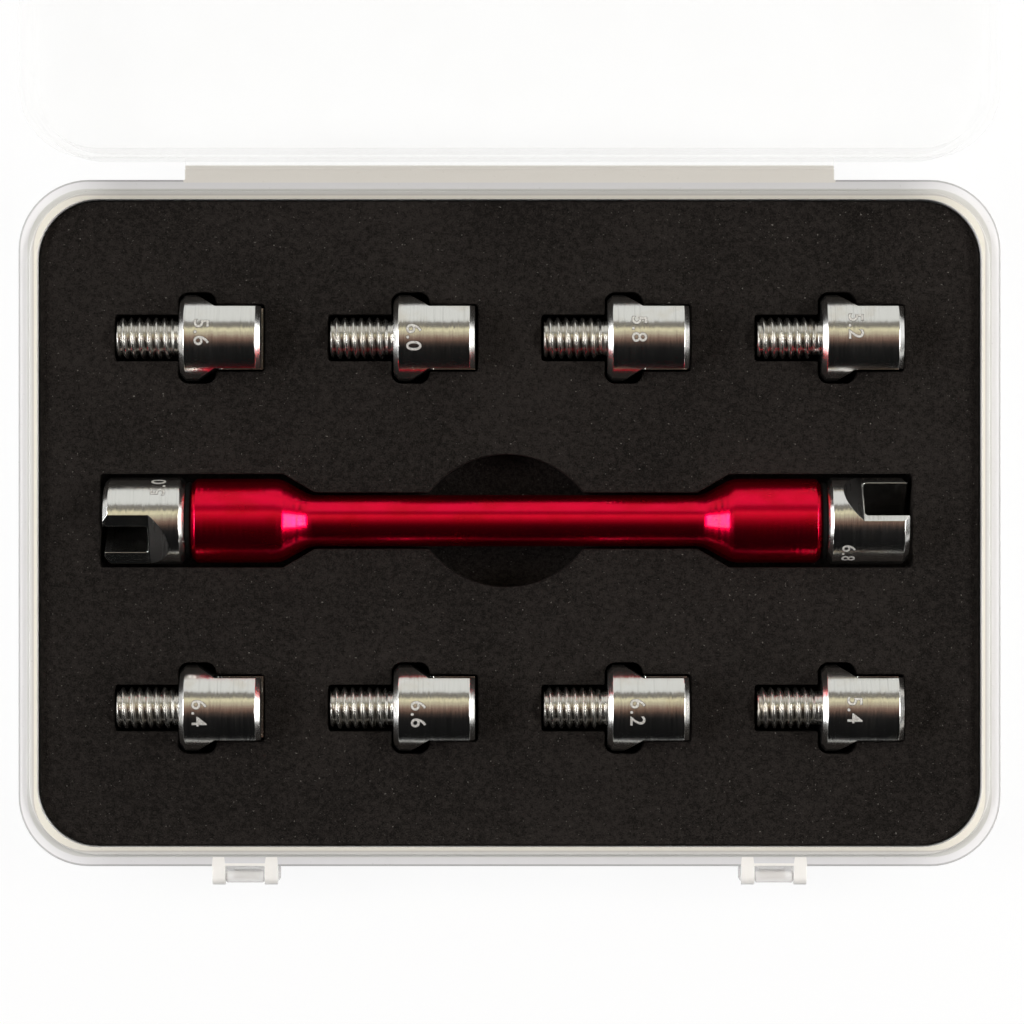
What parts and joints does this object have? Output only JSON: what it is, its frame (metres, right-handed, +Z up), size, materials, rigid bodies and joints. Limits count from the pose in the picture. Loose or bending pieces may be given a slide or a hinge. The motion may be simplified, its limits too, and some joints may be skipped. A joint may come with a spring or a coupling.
{
  "type": "spoke wrench set",
  "caption": "Waisted red handle with screw-in slotted spoke tips at both ends, and spare tips in a foam-lined hinged plastic case with latches.",
  "frame": {"origin": "middle of the tray's flat underside", "axes": "+X along the wrench to its 6.8 tip, +Y to the hinge and the open lid, +Z up out of the tray"},
  "size_m": [0.15, 0.2179, 0.0177],
  "materials": {
    "clear_case": "milky translucent polypropylene, satin",
    "foam": "black closed-cell foam, matt and finely grained",
    "red_anodised": "bright red anodised, fine turning marks",
    "rubber": "matt black",
    "chrome": "chrome plated over fine turning marks"
  },
  "bodies": {
    "case": {"tray": "clear_case", "foam_sheet": "foam", "foam_insert": "foam"},
    "case_lid": {"lid": "clear_case"},
    "left_latch": {"latch_left": "clear_case"},
    "right_latch": {"latch_right": "clear_case"},
    "wrench": {"handle": "red_anodised"},
    "left_ring": {"ring_left": "rubber"},
    "left_tip": {"tip_5_0": "chrome"},
    "right_ring": {"ring_right": "rubber"},
    "right_tip": {"tip_6_8": "chrome"},
    "spare_5_6": {"tip_5_6": "chrome"},
    "spare_6_0": {"tip_6_0": "chrome"},
    "spare_5_8": {"tip_5_8": "chrome"},
    "spare_5_2": {"tip_5_2": "chrome"},
    "spare_6_4": {"tip_6_4": "chrome"},
    "spare_6_6": {"tip_6_6": "chrome"},
    "spare_6_2": {"tip_6_2": "chrome"},
    "spare_5_4": {"tip_5_4": "chrome"}
  },
  "joints": [
    {"name": "lid_hinge", "type": "hinge", "parent": "case", "child": "case_lid", "pos_m": [0, 0.0541, 0.013], "axis": [-1, 0, 0], "range_deg": [-180, 0]},
    {"name": "left_latch_hinge", "type": "hinge", "parent": "case", "child": "left_latch", "pos_m": [-0.0404, -0.0541, 0.01175], "axis": [-1, 0, 0], "range_deg": [0, 180]},
    {"name": "right_latch_hinge", "type": "hinge", "parent": "case", "child": "right_latch", "pos_m": [0.0404, -0.0541, 0.01175], "axis": [-1, 0, 0], "range_deg": [0, 180]},
    {"name": "wrench_lift", "type": "slide", "parent": "case", "child": "wrench", "axis": [0, 0, 1], "range_m": [0, 0.04]},
    {"name": "left_tip_advance", "type": "slide", "parent": "wrench", "child": "left_ring", "axis": [-1, 0, 0], "range_m": [0, 0.00063]},
    {"name": "left_tip_turn", "type": "hinge", "parent": "left_ring", "child": "left_tip", "pos_m": [-0.0494, 0.00035, 0.0111], "axis": [-1, 0, 0], "range_deg": [0, 180]},
    {"name": "right_tip_advance", "type": "slide", "parent": "wrench", "child": "right_ring", "axis": [1, 0, 0], "range_m": [0, 0.00063]},
    {"name": "right_tip_turn", "type": "hinge", "parent": "right_ring", "child": "right_tip", "pos_m": [0.0484, 0.00035, 0.0111], "axis": [1, 0, 0], "range_deg": [0, 180]},
    {"name": "spare_5_6_lift", "type": "slide", "parent": "case", "child": "spare_5_6", "axis": [0, 0, 1], "range_m": [0, 0.03]},
    {"name": "spare_6_0_lift", "type": "slide", "parent": "case", "child": "spare_6_0", "axis": [0, 0, 1], "range_m": [0, 0.03]},
    {"name": "spare_5_8_lift", "type": "slide", "parent": "case", "child": "spare_5_8", "axis": [0, 0, 1], "range_m": [0, 0.03]},
    {"name": "spare_5_2_lift", "type": "slide", "parent": "case", "child": "spare_5_2", "axis": [0, 0, 1], "range_m": [0, 0.03]},
    {"name": "spare_6_4_lift", "type": "slide", "parent": "case", "child": "spare_6_4", "axis": [0, 0, 1], "range_m": [0, 0.03]},
    {"name": "spare_6_6_lift", "type": "slide", "parent": "case", "child": "spare_6_6", "axis": [0, 0, 1], "range_m": [0, 0.03]},
    {"name": "spare_6_2_lift", "type": "slide", "parent": "case", "child": "spare_6_2", "axis": [0, 0, 1], "range_m": [0, 0.03]},
    {"name": "spare_5_4_lift", "type": "slide", "parent": "case", "child": "spare_5_4", "axis": [0, 0, 1], "range_m": [0, 0.03]}
  ],
  "couplings": [
    {"joint": "left_tip_turn", "follows": "left_tip_advance", "rad_per_m": 4947.4},
    {"joint": "right_tip_turn", "follows": "right_tip_advance", "rad_per_m": 4947.4}
  ]
}
